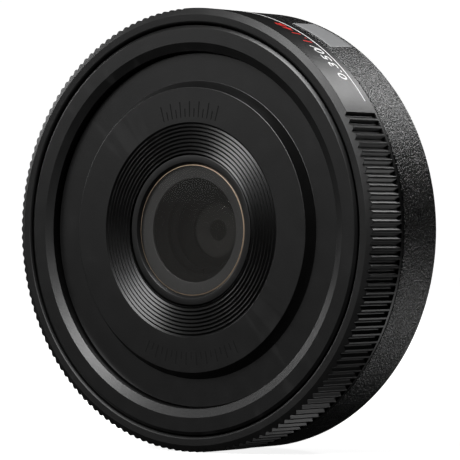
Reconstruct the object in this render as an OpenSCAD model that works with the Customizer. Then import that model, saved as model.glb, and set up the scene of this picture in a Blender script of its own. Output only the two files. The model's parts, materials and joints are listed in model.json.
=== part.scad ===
// Very thin manual-focus camera lens, drawn as the pieces it comes apart into on a bench.
// Millimetres. The optical axis lies along Y: the front of the lens faces -Y, the camera body
// is on the +Y side and +Z is up. The origin is the centre of the bayonet's seating face.
// Inside the modules the axis is along Z and z is the height in front of the seating face;
// placed() turns that into the frame above. Angles run clockwise from the top, seen from the
// front.

/* [Body] */
// Length from the seating face to the front of the lens
body_length = 18.1; // [18:0.1:19]
// Outer radius of the textured rear barrel
barrel_r = 33.74; // [33.5:0.02:34]
// Height of the parting line between the rear barrel and the focusing ring
parting_h = 9.6; // [9.4:0.05:9.8]
// Gap between pieces that turn or slide past each other
running_gap = 0.3; // [0.25:0.01:0.35]

/* [Focusing ring] */
// Outer radius over the knurl
ring_r = 33.8; // [33.6:0.05:34.2]
// Outer radius of the fixed barrel that the ring turns on
journal_r = 31.15; // [31:0.05:31.2]
// Angle from one knurl groove to the next, in degrees
knurl_pitch = 2.25; // [2:0.05:2.5]
// Number of knurl grooves
knurl_count = 133; // [120:1:134]
// Depth of a knurl groove
knurl_depth = 0.38; // [0.2:0.02:0.5]
// Share of the pitch that the groove takes up
knurl_groove_share = 0.76; // [0.5:0.02:0.8]
// Angle at the middle of the smooth stretch that carries the distance scale
smooth_middle = 28.4; // [0:0.2:90]

/* [Focusing movement] */
// How far the optical cell moves forward from infinity to the closest distance
focus_travel = 3.45; // [3:0.05:3.5]
// How far the ring turns for that travel, in degrees
focus_turn = 90; // [80:1:92]
// Number of starts of the helicoid thread
helicoid_starts = 8; // [6:1:10]

/* [Front] */
// Radius where the flat front rim ends and its inner chamfer starts
rim_flat_r = 28.53; // [28.3:0.01:28.8]
// Radius of the recess inside the front rim
recess_r = 27.2; // [27:0.05:27.4]
// Depth of the recessed floor behind the front
floor_depth = 1.7; // [1.5:0.05:1.9]
// Radius of the raised boss at its foot
boss_foot_r = 22.71; // [22.4:0.01:23]
// Radius of the raised boss at its top edge
boss_top_r = 21.73; // [21.4:0.01:22]
// Radius of the outermost concentric groove of the front panel
groove_outer_r = 16.41; // [16:0.01:16.8]
// Number of concentric grooves
groove_count = 8; // [6:1:8]
// Radius of the hole that the optical cell moves through
panel_bore_r = 11.7; // [11.65:0.01:11.8]

/* [Optics] */
// Clear radius of the ring in front of the first glass
glass_opening_r = 10; // [9.9:0.02:10.1]
// Clear radius of the mask behind the first glass
mask_r = 7.98; // [7.6:0.02:8.2]
// Radius of the fixed aperture: focal length 26 divided by twice the f-number 8
aperture_r = 1.625; // [1:0.025:2]

/* [Mount] */
// Outer radius of the bayonet flange
flange_r = 31; // [30.8:0.05:31.1]
// Thickness of the bayonet flange
flange_t = 1.6; // [1.5:0.05:1.65]
// Radius of the spigot that centres the lens in the camera
spigot_r = 25.75; // [25.6:0.01:25.8]
// Length of the centring spigot
spigot_length = 1.3; // [1:0.1:1.5]
// How far the bayonet reaches behind the seating face
bayonet_depth = 5.2; // [5:0.1:5.6]
// Radius of the circle that the mount screws and the lock hole lie on
mount_circle_r = 28.4; // [28.2:0.05:28.6]
// Radius of the hole for the camera's locking pin
lock_hole_r = 1.25; // [1:0.05:1.4]
// Width of the light window in the baffle
window_w = 34; // [30:0.5:34]
// Height of the light window in the baffle
window_h = 24; // [20:0.5:24]

/* [Hidden] */
$fn = 96;
overcut = 0.5;

// Heights of the fixed stack, from the seating face forward
wall_h = flange_t;
base_h = wall_h + 1.2;
base_top_h = base_h + 1.4;
rim_back_h = body_length - 3.5;
shoulder_h = rim_back_h - 1;
ledge_h = shoulder_h - 0.2;
panel_floor_h = body_length - floor_depth;
panel_back_h = panel_floor_h - 0.85;
tape_t = 0.15;
rim_flange_h = panel_back_h - tape_t;
boss_top_h = body_length - 0.22;
barrel_rear_h = 0.75;

// Fixed barrel and the turning parts inside it
barrel_bore_r = 29.6;
ledge_r = 29.9;
front_wall_bore_r = 18.2;
base_bore_r = 19;
nut_flange_r = barrel_bore_r - 0.4;
nut_flange_front_h = shoulder_h - 0.3;
nut_flange_back_h = nut_flange_front_h - 1.6;
nut_outer_r = 17;
nut_bore_r = 15.3;
nut_back_h = 4.4;
washer_t = 0.15;
washer_inner_r = 26.4;
washer_outer_r = barrel_bore_r - 0.05;
retainer_front_h = nut_flange_back_h - 0.75;
retainer_t = 1.05;

// Drive keys that join the nut to the ring through three slots
key_count = 3;
key_first_angle = 14;
key_half_angle = 3.2;
key_t = 0.9;
key_inner_r = 26.6;
key_outer_r = 32.2;
key_slot_play = 1;
key_screw_r = 27.9;

// Helicoid: right-hand thread, one lead is a whole turn's travel
helicoid_lead = focus_travel * 360 / focus_turn;
male_crest_r = 14.85;
male_root_r = 14.25;
female_crest_r = 14.45;
female_root_r = 15.05;
male_crest_angle = 16;
male_foot_angle = 20;
female_crest_angle = 20.3;
female_foot_angle = 24.3;
slice_angle = 8;
smooth_steps = 32;

// Optical cell
cell_front_r = 11.45;
cell_rear_r = 11.5;
cell_shoulder_r = 12.4;
helicoid_back_h = 4;
helicoid_front_h = 9.2;
shim_t = 0.3;
cell_shoulder_h = helicoid_front_h + shim_t;
cell_shoulder_t = 0.8;
cell_rear_h = 3;
mask_h = body_length - 1.8;
mask_t = 0.3;
glass_back_h = mask_h + mask_t;
glass_front_h = body_length - 0.77;
glass_r = 10.3;
glass_edge_h = glass_back_h + 0.32;
bezel_front_h = body_length - 0.4;
bezel_back_h = mask_h - 1.1;
bezel_bore_r = 10.95;
front_bore_r = 6.75;
front_seat_h = 11.2;
stop_seat_h = 10.5;
stop_bore_r = 5.25;
rear_bore_r = 8.3;
rear_seat_h = 8.3;
seat_lip_r = 4.2;
stop_t = 0.2;
second_front_h = 12.6;
third_front_h = 9.9;
third_back_h = 8.6;
fourth_back_h = 7.3;
rear_glass_front_h = 5.2;
rear_glass_back_h = 4;
nearly_flat = 4000;
glass_play = 0.05;

// Guide keys that keep the cell from turning
guide_key_w = 2;
guide_slot_w = 2.3;
guide_slot_r = 12.5;
guide_inner_r = 12.75;
guide_outer_r = 14;
guide_foot_r = 18.4;
guide_foot_t = 0.8;
guide_top_h = 10.5;
guide_plate_inner_r = 10.2;
guide_plate_outer_r = 24.3;
guide_plate_h = wall_h + 0.05;

// Screws, as thread radius, head radius and length, and where they sit
mount_screw = [0.85, 1.5, 4.1];
mount_screw_angles = [45, 135, 225, 315];
barrel_screw = [0.7, 1.2, 2.4];
barrel_screw_angles = [0, 120, 240];
barrel_screw_r = 26.8;
guide_plate_screw = [0.7, 1.15, 2.4];
guide_plate_screw_angles = [20, 110, 200, 290];
guide_plate_screw_r = 21.6;
guide_key_screw = [0.5, 0.85, 1.8];
guide_key_angles = [90, 270];
guide_key_screw_r = 16.6;
baffle_screw = [0.6, 0.9, 1.8];
baffle_screw_angles = [30, 150, 270];
baffle_screw_r = 21.8;
rim_screw = [0.7, 1.2, 1.7];
rim_screw_angles = [30, 90, 150, 210, 270, 330];
rim_screw_r = 24.2;
drive_screw = [0.5, 0.85, 1.5];
screw_play = 0.05;
tapped_depth = 3;

// Bayonet behind the seating face
throat_r = 22.8;
tube_r = 24;
lug_r = 25.6;
lug_t = 1.6;
lug_angles = [20, 110, 200, 290];
lug_span = 44;
lock_hole_angle = 262;
lock_hole_depth = 1.3;
index_angle = 0;
index_r = 29.6;
index_dot_r = 0.7;
index_dot_t = 0.6;
baffle_seat_h = -2.2;
baffle_t = 0.8;
baffle_back_h = baffle_seat_h - baffle_t;

// Pocket and plate on the side of the rear barrel
badge_r = 33.55;
badge_low = 1.7;
badge_high = 8.05;
badge_from = 20.4;
badge_to = 35;

// Colours
black_anodised = [0.10, 0.10, 0.11];
black_paint = [0.13, 0.13, 0.13];
inner_black = [0.05, 0.05, 0.05];
steel = [0.72, 0.72, 0.73];
blackened_steel = [0.2, 0.2, 0.21];
alloy = [0.60, 0.59, 0.57];
brass = [0.72, 0.58, 0.32];
glass_tint = [0.25, 0.28, 0.30];

// Turns a shape drawn along Z so that its front faces -Y
module placed() {
    rotate([90, 0, 0]) children();
}

// Puts a shape at an angle clockwise from the top and a radius from the axis
module at(angle, radius) {
    rotate([0, 0, -angle]) translate([0, radius, 0]) children();
}

// Solid of revolution from [radius, height] points
module turned(points) {
    rotate_extrude() polygon(points);
}

// Plain ring between two radii and two heights
module ring(inner, outer, low, high) {
    turned([[inner, low], [outer, low], [outer, high], [inner, high]]);
}

// Sector of a ring, from one clockwise angle to another
module ring_sector(inner, outer, low, high, from, to, steps = $fn) {
    rotate([0, 0, 90 - to])
        rotate_extrude(angle = to - from, $fn = steps)
            polygon([[inner, low], [outer, low], [outer, high], [inner, high]]);
}

// Countersunk screw with a cross recess; its head is flush with z = 0 and faces -Z
module screw(thread_r, head_r, length) {
    head_t = head_r - thread_r;
    difference() {
        union() {
            cylinder(r1 = head_r, r2 = thread_r, h = head_t);
            cylinder(r = thread_r, h = length);
        }
        cross_recess(head_r * 1.1, head_r * 0.28, head_t * 0.8);
    }
}

// Cross recess of a screw head
module cross_recess(span, width, depth) {
    for (turn = [0, 90])
        rotate([0, 0, turn])
            translate([-span / 2, -width / 2, -depth])
                cube([span, width, 2 * depth]);
}

// Countersunk hole that a screw of the same sizes drops into from -Z
module screw_hole(thread_r, head_r, length) {
    head_t = head_r - thread_r;
    translate([0, 0, -overcut]) cylinder(r = head_r + screw_play, h = overcut);
    cylinder(r1 = head_r + screw_play, r2 = thread_r + screw_play, h = head_t);
    cylinder(r = thread_r + screw_play, h = length + screw_play);
}

// Plain hole that stands for a tapped one, from z = 0 forward
module tapped_hole(thread_r, depth = tapped_depth) {
    cylinder(r = thread_r + screw_play, h = depth);
}

// The same screw or hole entering from the front, head facing +Z at z = 0
module from_front() {
    mirror([0, 0, 1]) children();
}

// Slot for a pin spanner across the rear face of a threaded ring, at height back
module spanner_slot(length, back, depth) {
    width = 1.2;
    translate([-width / 2, -length / 2, back - overcut])
        cube([width, length, overcut + depth]);
}

// Height of a spherical surface over its rim, at one radius
function sag(curve_r, rim_r, r) =
    sqrt(curve_r * curve_r - r * r) - sqrt(curve_r * curve_r - rim_r * rim_r);

// Points of a lens surface from the axis to the rim; bulge is 1 for outwards along +Z
function surface_points(curve_r, rim_r, rim_h, bulge, steps) =
    [for (i = [0:steps]) let (r = rim_r * i / steps)
        [r, rim_h + bulge * sag(curve_r, rim_r, r)]];

// Lens element from its front and rear surfaces, with straight edges
module element(rim_r, back_h, front_h, back_curve, back_bulge, front_curve, front_bulge) {
    steps = 12;
    back = surface_points(back_curve, rim_r, back_h, back_bulge, steps);
    front = surface_points(front_curve, rim_r, front_h, front_bulge, steps);
    turned(concat(back, [for (i = [steps:-1:0]) front[i]]));
}

// ---- Pieces that stay still ----

// Outer shell of the rear half, with the wall that carries everything else
module rear_barrel() {
    bore = 24.5;
    flange_recess_r = flange_r + 0.3;
    rear_edge = 0.3;
    front_edge = 0.2;
    front_h = parting_h - running_gap / 2;
    seat_r = journal_r + 0.05;
    relief_r = 32.3;
    relief_low = base_h + 1.4;
    relief_high = front_h - 1.85;
    color(black_paint) placed() difference() {
        turned([
            [bore, wall_h], [flange_recess_r, wall_h], [flange_recess_r, barrel_rear_h],
            [barrel_r - rear_edge, barrel_rear_h], [barrel_r, barrel_rear_h + rear_edge],
            [barrel_r, front_h - front_edge], [barrel_r - front_edge, front_h],
            [seat_r, front_h], [seat_r, front_h - 1.05], [relief_r, relief_high],
            [relief_r, relief_low], [seat_r, relief_low], [seat_r, base_h], [bore, base_h]
        ]);
        for (angle = mount_screw_angles)
            at(angle, mount_circle_r) translate([0, 0, wall_h - overcut])
                tapped_hole(mount_screw[0]);
        for (angle = barrel_screw_angles)
            at(angle, barrel_screw_r) translate([0, 0, wall_h])
                screw_hole(barrel_screw[0], barrel_screw[1], barrel_screw[2]);
        ring_sector(badge_r, barrel_r + overcut, badge_low, badge_high, badge_from, badge_to);
    }
}

// Thin blank plate let into the side of the rear barrel
module badge_plate() {
    color([0.42, 0.43, 0.44]) placed()
        ring_sector(badge_r + 0.02, barrel_r, badge_low + 0.05, badge_high - 0.05,
            badge_from + 0.1, badge_to - 0.1, 720);
}

// Bayonet: flange, centring spigot, tube and four lugs
module bayonet_mount() {
    lug_back = -bayonet_depth;
    flange_edge = 0.25;
    flange_bore_r = 23.4;
    ledge_r = 20.9;
    ledge_front_h = -1;
    color(steel) placed() difference() {
        union() {
            turned([
                [throat_r, lug_back], [tube_r, lug_back], [tube_r, -spigot_length],
                [spigot_r, -spigot_length], [spigot_r, 0], [flange_r - flange_edge, 0],
                [flange_r, flange_edge], [flange_r, flange_t], [flange_bore_r, flange_t],
                [flange_bore_r, ledge_front_h], [ledge_r, ledge_front_h],
                [ledge_r, baffle_seat_h], [throat_r, baffle_seat_h]
            ]);
            for (angle = lug_angles)
                ring_sector(tube_r - 0.2, lug_r, lug_back, lug_back + lug_t,
                    angle, angle + lug_span);
        }
        for (angle = mount_screw_angles)
            at(angle, mount_circle_r)
                screw_hole(mount_screw[0], mount_screw[1], mount_screw[2]);
        at(lock_hole_angle, mount_circle_r) translate([0, 0, -overcut])
            cylinder(r = lock_hole_r, h = lock_hole_depth + overcut);
        at(index_angle, index_r) translate([0, 0, -overcut])
            cylinder(r = index_dot_r + screw_play, h = index_dot_t + overcut);
        for (angle = baffle_screw_angles)
            at(angle, baffle_screw_r) translate([0, 0, baffle_back_h])
                tapped_hole(baffle_screw[0], baffle_screw[2] + 0.1);
    }
}

// Screws that hold the bayonet to the barrels
module mount_screws() {
    color(steel) placed()
        for (angle = mount_screw_angles)
            at(angle, mount_circle_r) screw(mount_screw[0], mount_screw[1], mount_screw[2]);
}

// Red alignment dot pressed into the bayonet flange
module index_dot() {
    color("firebrick") placed()
        at(index_angle, index_r) turned([
            [0, 0.05], [index_dot_r - 0.15, 0.05], [index_dot_r, 0.2],
            [index_dot_r, index_dot_t], [0, index_dot_t]
        ]);
}

// Plate with the rectangular light window, behind the rear element
module light_baffle() {
    color(inner_black) placed() difference() {
        ring(0, throat_r - 0.1, baffle_back_h, baffle_seat_h);
        translate([-window_w / 2, -window_h / 2, baffle_back_h - overcut])
            cube([window_w, window_h, baffle_t + 2 * overcut]);
        for (angle = baffle_screw_angles)
            at(angle, baffle_screw_r) translate([0, 0, baffle_back_h])
                screw_hole(baffle_screw[0], baffle_screw[1], baffle_screw[2]);
    }
}

// Screws of the light baffle
module baffle_screws() {
    color(blackened_steel) placed()
        for (angle = baffle_screw_angles)
            at(angle, baffle_screw_r) translate([0, 0, baffle_back_h])
                screw(baffle_screw[0], baffle_screw[1], baffle_screw[2]);
}

// Plate that carries the two guide keys
module guide_plate() {
    color(black_anodised) placed() difference() {
        ring(guide_plate_inner_r, guide_plate_outer_r, guide_plate_h, base_h);
        for (angle = guide_plate_screw_angles)
            at(angle, guide_plate_screw_r) translate([0, 0, guide_plate_h])
                screw_hole(guide_plate_screw[0], guide_plate_screw[1], guide_plate_screw[2]);
        for (angle = guide_key_angles)
            at(angle, guide_key_screw_r) translate([0, 0, guide_plate_h])
                screw_hole(guide_key_screw[0], guide_key_screw[1], guide_key_screw[2]);
    }
}

// Screws that hold the guide plate to the fixed barrel
module guide_plate_screws() {
    color(steel) placed()
        for (angle = guide_plate_screw_angles)
            at(angle, guide_plate_screw_r) translate([0, 0, guide_plate_h])
                screw(guide_plate_screw[0], guide_plate_screw[1], guide_plate_screw[2]);
}

// Two angled keys whose blades run in the slots of the inner helicoid
module guide_keys() {
    color(brass) placed()
        for (angle = guide_key_angles)
            rotate([0, 0, -angle]) difference() {
                union() {
                    translate([-guide_key_w / 2, guide_inner_r, base_h])
                        cube([guide_key_w, guide_outer_r - guide_inner_r,
                            guide_top_h - base_h]);
                    translate([-guide_key_w / 2, guide_inner_r, base_h])
                        cube([guide_key_w, guide_foot_r - guide_inner_r, guide_foot_t]);
                }
                translate([0, guide_key_screw_r, base_h - overcut])
                    tapped_hole(guide_key_screw[0]);
            }
}

// Screws of the guide keys
module guide_key_screws() {
    color(steel) placed()
        for (angle = guide_key_angles)
            at(angle, guide_key_screw_r) translate([0, 0, guide_plate_h])
                screw(guide_key_screw[0], guide_key_screw[1], guide_key_screw[2]);
}

// Inner barrel that the ring turns on and that holds the helicoid nut
module fixed_barrel() {
    slot_low = nut_flange_back_h - running_gap;
    slot_high = nut_flange_back_h + key_t + running_gap;
    color(black_anodised) placed() difference() {
        turned([
            [base_bore_r, base_h], [journal_r, base_h], [journal_r, ledge_h],
            [ledge_r, ledge_h], [ledge_r, rim_back_h], [front_wall_bore_r, rim_back_h],
            [front_wall_bore_r, shoulder_h], [barrel_bore_r, shoulder_h],
            [barrel_bore_r, base_top_h], [base_bore_r, base_top_h]
        ]);
        for (i = [0:key_count - 1]) {
            first = key_first_angle + i * 360 / key_count;
            ring_sector(barrel_bore_r - 0.4, journal_r + 0.4, slot_low, slot_high,
                first - key_half_angle - key_slot_play,
                first + focus_turn + key_half_angle + key_slot_play);
        }
        for (angle = mount_screw_angles)
            at(angle, mount_circle_r) translate([0, 0, base_h - overcut])
                tapped_hole(mount_screw[0]);
        for (angle = barrel_screw_angles)
            at(angle, barrel_screw_r) translate([0, 0, base_h - overcut])
                tapped_hole(barrel_screw[0]);
        for (angle = guide_plate_screw_angles)
            at(angle, guide_plate_screw_r) translate([0, 0, base_h - overcut])
                tapped_hole(guide_plate_screw[0]);
        for (angle = rim_screw_angles)
            at(angle, rim_screw_r) translate([0, 0, shoulder_h - overcut])
                tapped_hole(rim_screw[0]);
    }
}

// Screws that join the rear barrel to the fixed barrel, under the bayonet flange
module barrel_screws() {
    color(steel) placed()
        for (angle = barrel_screw_angles)
            at(angle, barrel_screw_r) translate([0, 0, wall_h])
                screw(barrel_screw[0], barrel_screw[1], barrel_screw[2]);
}

// Low-friction washer between the nut and the barrel's front wall
module slide_washer_front() {
    color("ivory") placed()
        ring(washer_inner_r, washer_outer_r, shoulder_h - washer_t, shoulder_h);
}

// Low-friction washer behind the nut
module slide_washer_rear() {
    high = nut_flange_back_h - washer_t;
    color("ivory") placed()
        ring(washer_inner_r, washer_outer_r, high - washer_t, high);
}

// Points of one corner of the wave washer's section, all the way round
function wave_rim(r, base, steps, waves, height) =
    [for (i = [0:steps - 1]) let (a = i * 360 / steps)
        [r * cos(a), r * sin(a), base + height * (0.5 + 0.5 * sin(waves * a))]];

// Spring washer that takes up the end play, waved six times
module wave_washer() {
    steps = 72;
    waves = 6;
    thickness = 0.12;
    low = retainer_front_h;
    height = nut_flange_back_h - 2 * washer_t - thickness - low;
    inner = washer_inner_r + 0.3;
    outer = washer_outer_r - 0.15;
    rims = concat(
        wave_rim(inner, low, steps, waves, height),
        wave_rim(outer, low, steps, waves, height),
        wave_rim(outer, low + thickness, steps, waves, height),
        wave_rim(inner, low + thickness, steps, waves, height)
    );
    sides = [for (side = [0:3]) for (i = [0:steps - 1]) let (j = (i + 1) % steps)
        let (a = side * steps, b = ((side + 1) % 4) * steps)
        for (f = [[a + i, b + i, b + j], [a + i, b + j, a + j]]) f];
    color(steel) placed() polyhedron(points = rims, faces = sides);
}

// Threaded ring that holds the nut and its washers in the fixed barrel
module helicoid_retaining_ring() {
    inner = washer_inner_r - 0.2;
    outer = barrel_bore_r - 0.03;
    back = retainer_front_h - retainer_t;
    color(black_anodised) placed() difference() {
        ring(inner, outer, back, retainer_front_h);
        for (angle = [60, 240])
            at(angle, (inner + outer) / 2) spanner_slot(outer - inner + 1, back, 0.5);
    }
}

// Front rim: the polished-edge ring around the recessed panel
module front_rim() {
    bore = 19;
    outer_edge = 0.45;
    outer_drop = 0.3;
    inner_drop = 0.5;
    color(black_anodised) placed() difference() {
        turned([
            [bore, rim_back_h], [journal_r, rim_back_h],
            [journal_r, body_length - outer_drop], [journal_r - outer_edge, body_length],
            [rim_flat_r, body_length], [recess_r, body_length - inner_drop],
            [recess_r, rim_flange_h], [bore, rim_flange_h]
        ]);
        for (angle = rim_screw_angles)
            at(angle, rim_screw_r) translate([0, 0, rim_flange_h]) from_front()
                screw_hole(rim_screw[0], rim_screw[1], rim_screw[2]);
    }
}

// Screws under the front panel that hold the front rim
module front_rim_screws() {
    color(steel) placed()
        for (angle = rim_screw_angles)
            at(angle, rim_screw_r) translate([0, 0, rim_flange_h]) from_front()
                screw(rim_screw[0], rim_screw[1], rim_screw[2]);
}

// Front panel: recessed floor, raised boss and concentric V-shaped light-trap grooves
module front_panel() {
    wall = 1.1;
    edge = 0.1;
    floor_edge_r = recess_r - 0.2;
    boss_inner_r = boss_top_r - 0.9;
    lip_r = panel_bore_r + 0.7;
    lip_back_h = panel_back_h - 0.65;
    pitch = (groove_outer_r - panel_bore_r) / groove_count;
    groove_depth = 0.22;
    grooves = [for (i = [0:groove_count - 1])
        let (outer = groove_outer_r - i * pitch)
        for (p = [[outer, boss_top_h], [outer - pitch / 2, boss_top_h - groove_depth]]) p];
    color(black_anodised) placed() turned(concat(
        [
            [lip_r, lip_back_h], [lip_r, boss_top_h - wall],
            [boss_inner_r, boss_top_h - wall], [boss_inner_r, panel_back_h],
            [floor_edge_r, panel_back_h], [floor_edge_r, panel_floor_h - edge],
            [floor_edge_r - edge, panel_floor_h], [boss_foot_r, panel_floor_h],
            [boss_top_r + edge, boss_top_h - edge], [boss_top_r, boss_top_h]
        ],
        grooves,
        [[panel_bore_r, boss_top_h], [panel_bore_r, lip_back_h]]
    ));
}

// Adhesive ring that holds the front panel to the front rim
module panel_adhesive_ring() {
    inner = 21.2;
    outer = 26.4;
    color("wheat") placed() ring(inner, outer, rim_flange_h, panel_back_h);
}

// ---- Pieces that turn with the focusing ring ----

// Outline of the knurled ring, as one polygon: V grooves everywhere but the smooth stretch
function knurl_points(outer, depth) =
    let (groove = knurl_pitch * knurl_groove_share,
        first = smooth_middle + (360 - (knurl_count - 1) * knurl_pitch) / 2)
    concat(
        [for (i = [0:knurl_count - 1])
            let (middle = first + i * knurl_pitch)
            for (p = [[-0.5, 0], [-0.06, 1], [0.06, 1], [0.5, 0]])
                let (a = middle + p[0] * groove, r = outer - depth * p[1])
                [r * sin(a), r * cos(a)]],
        [for (i = [1:smooth_steps - 1])
            let (last = first + (knurl_count - 1) * knurl_pitch + 0.5 * groove,
                span = 360 - (knurl_count - 1) * knurl_pitch - groove,
                a = last + span * i / smooth_steps)
            [outer * sin(a), outer * cos(a)]]
    );

// Focusing ring with its knurl, its bevelled front and the grooves for the drive keys
module focus_ring() {
    back = parting_h + running_gap / 2;
    rear_edge = 0.15;
    bevel_r = 32.8;
    bevel_drop = 0.5;
    bore = journal_r + running_gap;
    lip_r = ledge_r + running_gap;
    lip_low = ledge_h + 0.25;
    lip_high = rim_back_h - 0.2;
    knurl_low = back + 0.55;
    pocket_play = 0.1;
    color(black_anodised) placed() difference() {
        turned([
            [bore, back], [ring_r - rear_edge, back], [ring_r, back + rear_edge],
            [ring_r, body_length - bevel_drop], [bevel_r, body_length],
            [bore + 0.3, body_length - 0.05], [bore, body_length - 0.34],
            [bore, lip_high], [lip_r, lip_high], [lip_r, lip_low], [bore, lip_low]
        ]);
        translate([0, 0, knurl_low]) linear_extrude(height = body_length)
            difference() {
                circle(r = ring_r + overcut);
                polygon(knurl_points(ring_r + 0.02, knurl_depth));
            }
        for (i = [0:key_count - 1]) {
            middle = key_first_angle + i * 360 / key_count;
            ring_sector(bore - 0.2, key_outer_r + pocket_play, back - overcut,
                nut_flange_back_h + key_t + pocket_play,
                middle - key_half_angle - pocket_play,
                middle + key_half_angle + pocket_play);
        }
    }
}

// Outline of a multi-start thread seen along its axis
function thread_points(foot_r, crest_r, foot_angle, crest_angle) =
    let (pitch = 360 / helicoid_starts, valley = pitch - foot_angle)
    [for (i = [0:helicoid_starts - 1])
        let (middle = i * pitch)
        for (p = [
            [-foot_angle / 2, foot_r], [-crest_angle / 2, crest_r], [0, crest_r],
            [crest_angle / 2, crest_r], [foot_angle / 2, foot_r],
            [foot_angle / 2 + valley / 3, foot_r], [foot_angle / 2 + valley * 2 / 3, foot_r]
        ])
            [p[1] * cos(middle + p[0]), p[1] * sin(middle + p[0])]];

// Helical solid that follows the helicoid's lead; its phase is fixed by its own height
module helical(low, high) {
    turn = (high - low) * 360 / helicoid_lead;
    translate([0, 0, low]) rotate([0, 0, low * 360 / helicoid_lead])
        linear_extrude(height = high - low, twist = -turn, slices = ceil(turn / slice_angle))
            children();
}

// Nut that turns with the ring and drives the inner helicoid forward
module helicoid_nut() {
    band_low = 6;
    band_high = 10.6;
    band_r = 16.2;
    color(alloy) placed() difference() {
        union() {
            turned([
                [nut_bore_r, nut_back_h], [nut_outer_r, nut_back_h],
                [nut_outer_r, nut_flange_back_h], [nut_flange_r, nut_flange_back_h],
                [nut_flange_r, nut_flange_front_h], [nut_bore_r, nut_flange_front_h]
            ]);
            helical(band_low, band_high) difference() {
                circle(r = band_r, $fn = 36);
                rotate([0, 0, 180 / helicoid_starts])
                    polygon(thread_points(female_root_r, female_crest_r,
                        female_foot_angle, female_crest_angle));
            }
        }
        for (i = [0:key_count - 1]) {
            middle = key_first_angle + i * 360 / key_count;
            ring_sector(key_inner_r, nut_flange_r + overcut, nut_flange_back_h - overcut,
                nut_flange_back_h + key_t, middle - key_half_angle, middle + key_half_angle);
            at(middle, key_screw_r) translate([0, 0, nut_flange_back_h])
                tapped_hole(drive_screw[0]);
        }
    }
}

// Three keys that reach through the fixed barrel's slots into the ring
module drive_keys() {
    color(steel) placed()
        for (i = [0:key_count - 1]) {
            middle = key_first_angle + i * 360 / key_count;
            difference() {
                ring_sector(key_inner_r, key_outer_r, nut_flange_back_h,
                    nut_flange_back_h + key_t, middle - key_half_angle,
                    middle + key_half_angle);
                at(middle, key_screw_r) translate([0, 0, nut_flange_back_h])
                    screw_hole(drive_screw[0], drive_screw[1], drive_screw[2]);
            }
        }
}

// Screws of the drive keys
module drive_key_screws() {
    color(steel) placed()
        for (i = [0:key_count - 1])
            at(key_first_angle + i * 360 / key_count, key_screw_r)
                translate([0, 0, nut_flange_back_h])
                    screw(drive_screw[0], drive_screw[1], drive_screw[2]);
}

// ---- Pieces that slide with the optical cell ----

// Threaded sleeve around the optical cell, with two slots for the guide keys
module inner_helicoid() {
    slot_length = helicoid_front_h - helicoid_back_h + 2 * overcut;
    color(brass) placed() difference() {
        helical(helicoid_back_h, helicoid_front_h)
            polygon(thread_points(male_root_r, male_crest_r, male_foot_angle, male_crest_angle));
        translate([0, 0, helicoid_back_h - overcut])
            cylinder(r = cell_rear_r + 0.05, h = slot_length);
        for (angle = guide_key_angles)
            rotate([0, 0, -angle])
                translate([-guide_slot_w / 2, guide_slot_r, helicoid_back_h - overcut])
                    cube([guide_slot_w, 4, slot_length]);
    }
}

// Barrel of the optical cell, stepped inside for the two lens groups
module cell_barrel() {
    light_trap = [
        [mask_r + 0.62, mask_h], [8, 15.7], [8, 15.5], [7.5, 15.2], [7.5, 15],
        [front_bore_r, 14.6]
    ];
    color(inner_black) placed() turned(concat(
        [
            [rear_bore_r, cell_rear_h], [cell_rear_r, cell_rear_h],
            [cell_rear_r, cell_shoulder_h], [cell_shoulder_r, cell_shoulder_h],
            [cell_shoulder_r, cell_shoulder_h + cell_shoulder_t],
            [cell_front_r, cell_shoulder_h + cell_shoulder_t], [cell_front_r, bezel_back_h],
            [bezel_bore_r - 0.05, bezel_back_h], [bezel_bore_r - 0.05, mask_h]
        ],
        light_trap,
        [
            [front_bore_r, front_seat_h], [seat_lip_r, front_seat_h],
            [seat_lip_r, stop_seat_h], [stop_bore_r, stop_seat_h],
            [stop_bore_r, rear_seat_h], [rear_bore_r, rear_seat_h]
        ]
    ));
}

// Shim that sets the cell's distance at infinity
module cell_shim() {
    color(brass) placed()
        ring(cell_rear_r + 0.1, cell_shoulder_r, helicoid_front_h, cell_shoulder_h);
}

// Bezel screwed over the cell's front; its lip holds the first glass
module front_bezel() {
    edge = 0.15;
    chamfer_r = glass_opening_r + 0.4;
    lip_h = glass_front_h - 0.03;
    seat_r = glass_r + glass_play;
    color(black_anodised) placed() turned([
        [bezel_bore_r, bezel_back_h], [cell_front_r, bezel_back_h],
        [cell_front_r, bezel_front_h - edge], [cell_front_r - edge, bezel_front_h],
        [chamfer_r, bezel_front_h], [glass_opening_r, lip_h], [glass_opening_r, lip_h - 0.05],
        [seat_r, glass_edge_h + 0.08], [seat_r, mask_h], [bezel_bore_r, mask_h]
    ]);
}

// First glass: a thin, weakly curved meniscus with a bevelled edge
module front_element() {
    rim = glass_opening_r - 0.12;
    steps = 12;
    front = surface_points(140, rim, glass_front_h, 1, steps);
    back = surface_points(90, mask_r, glass_back_h, 1, steps);
    color(glass_tint, 0.6) placed() turned(concat(
        back,
        [[glass_r, glass_back_h], [glass_r, glass_edge_h]],
        [for (i = [steps:-1:0]) front[i]]
    ));
}

// Thin annular mask behind the first glass
module front_mask() {
    color([0.22, 0.22, 0.23]) placed() ring(mask_r, glass_r, mask_h, mask_h + mask_t);
}

// Second glass: positive meniscus in front of the aperture
module second_element() {
    color(glass_tint, 0.6) placed()
        element(front_bore_r - glass_play, front_seat_h, second_front_h, 30, 1, 16, 1);
}

// Threaded ring that holds the second glass
module front_group_ring() {
    inner = 5.9;
    outer = front_bore_r - 0.02;
    edge = 0.3;
    front = second_front_h + 1;
    color(inner_black) placed() difference() {
        turned([
            [inner, second_front_h + 0.4], [outer, second_front_h + 0.06], [outer, front],
            [inner + edge, front], [inner, front - edge]
        ]);
        for (angle = [0, 180])
            at(angle, (inner + outer) / 2) translate([0, 0, front]) from_front()
                spanner_slot(2, 0, 0.3);
    }
}

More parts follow.
